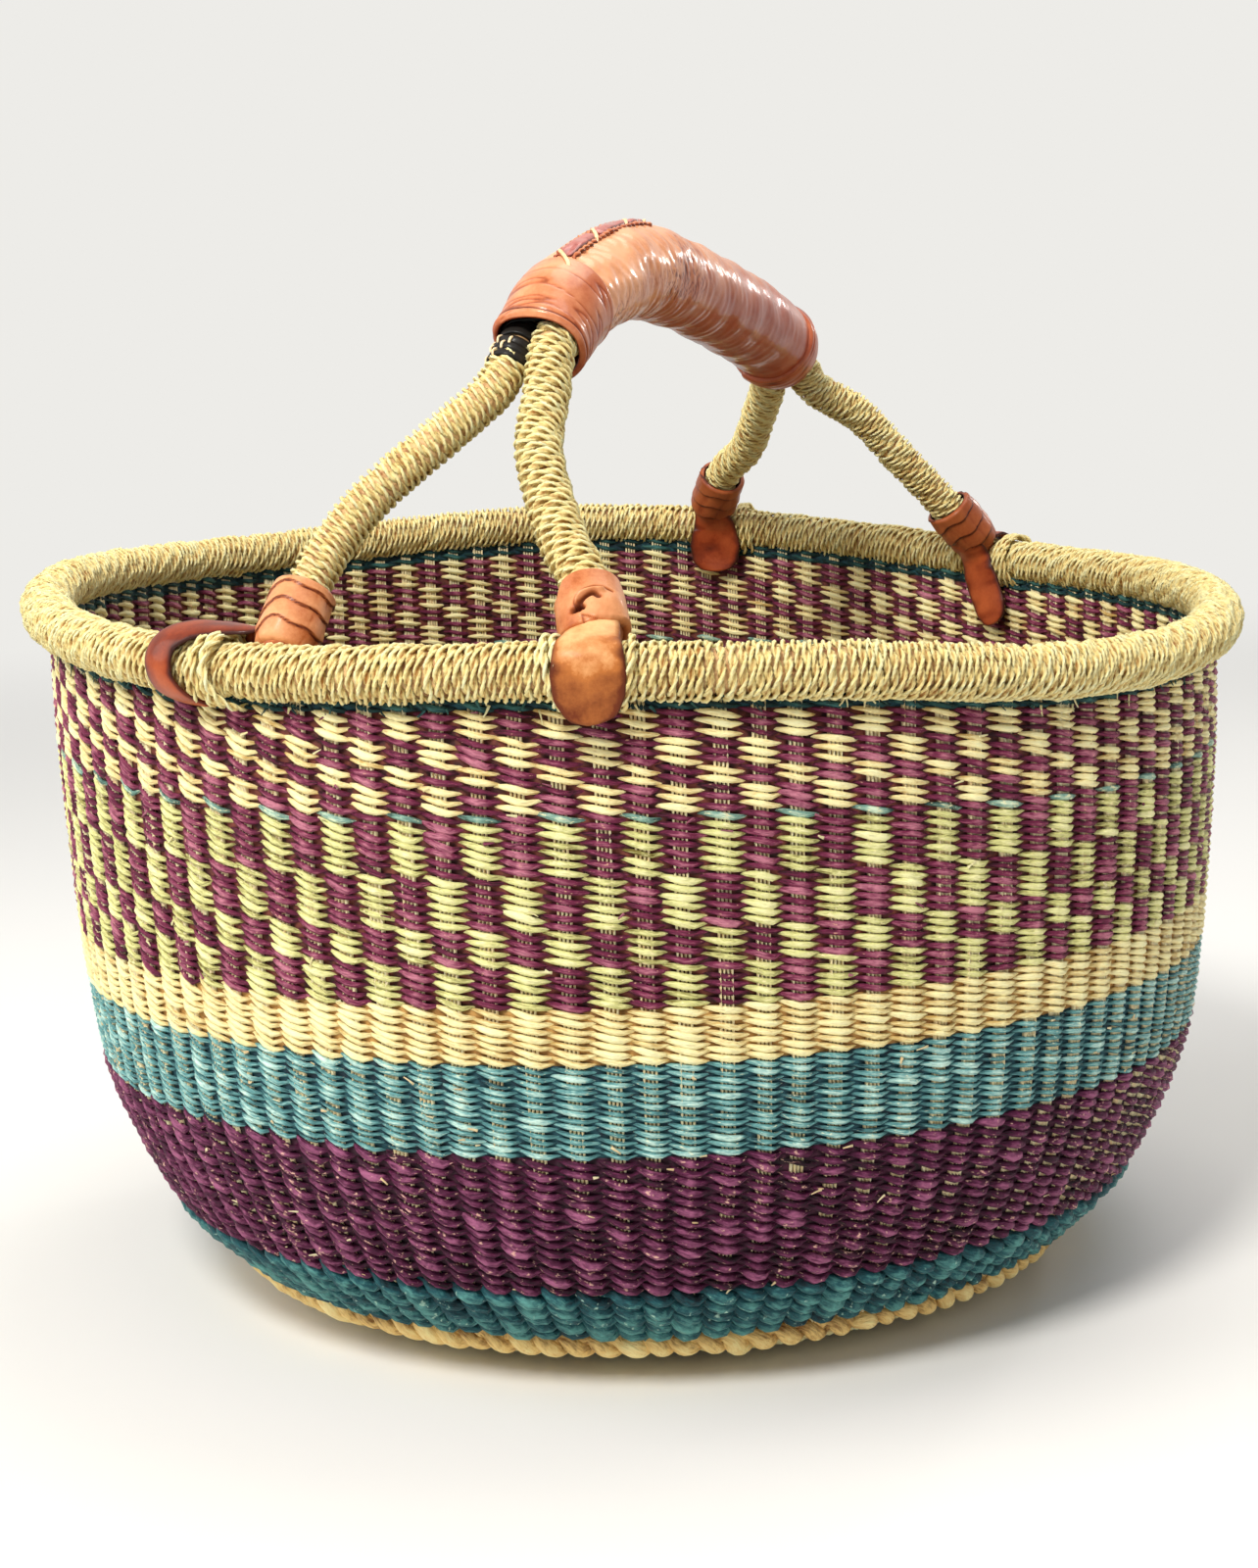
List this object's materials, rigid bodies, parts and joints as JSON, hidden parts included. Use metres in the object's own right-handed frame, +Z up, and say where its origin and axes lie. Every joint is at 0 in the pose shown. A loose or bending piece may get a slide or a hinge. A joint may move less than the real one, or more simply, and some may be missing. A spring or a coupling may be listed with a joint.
{
  "type": "basket",
  "caption": "Round twined grass basket in dyed bands and checks, with a cord-bound rim and a leather-covered arched carrying handle on splayed legs.",
  "frame": {"origin": "centre of the flat underside of the base, on the surface that the basket stands on", "axes": "+Z up, +Y towards the far side of the rim as pictured, +X to the picture's right"},
  "size_m": [0.4276, 0.4301, 0.3645],
  "materials": {
    "bare_straw": "matt bundles of untwisted straw",
    "natural_straw": "satin, undyed twined straw",
    "dark_teal_straw": "satin, dyed twined straw",
    "purple_straw": "satin, dyed twined straw",
    "teal_straw": "satin, dyed twined straw",
    "purple_green_checks": "satin, two dyed straws twined into checks",
    "purple_natural_checks": "satin, dyed and undyed straws twined into checks",
    "grass_cord": "matt two-ply grass cord",
    "glossy_leather": "glossy, wrinkled, goat leather",
    "tan_leather": "semi-gloss, soft leather with raw edges",
    "dark_red_leather": "semi-gloss dyed leather",
    "black_leather": "matt"
  },
  "bodies": {
    "root": {"warp_stakes": "bare_straw", "weft_base": "natural_straw", "weft_foot": "natural_straw", "weft_teal_lower": "dark_teal_straw", "weft_purple": "purple_straw", "weft_teal_upper": "teal_straw", "weft_natural": "natural_straw", "weft_checks_green": "purple_green_checks", "weft_checks_natural": "purple_natural_checks", "weft_teal_top": "dark_teal_straw", "rim_core": "bare_straw", "rim_winding": "grass_cord", "bail_core_left": "bare_straw", "bail_core_right": "bare_straw", "grip_lashing_front": "black_leather", "grip_lashing_rear": "black_leather", "grip_packing": "bare_straw", "grip_leather": "glossy_leather", "grip_band_front": "glossy_leather", "grip_band_rear": "glossy_leather", "grip_lacing": "dark_red_leather", "leg_winding_front_left": "grass_cord", "foot_collar_front_left": "tan_leather", "foot_saddle_front_left": "tan_leather", "foot_loop_front_left": "grass_cord", "leg_winding_front_right": "grass_cord", "foot_collar_front_right": "tan_leather", "foot_saddle_front_right": "tan_leather", "foot_loop_front_right": "grass_cord", "leg_winding_rear_left": "grass_cord", "foot_collar_rear_left": "tan_leather", "foot_saddle_rear_left": "tan_leather", "foot_loop_rear_left": "grass_cord", "leg_winding_rear_right": "grass_cord", "foot_collar_rear_right": "tan_leather", "foot_saddle_rear_right": "tan_leather", "foot_loop_rear_right": "grass_cord"}
  },
  "joints": []
}
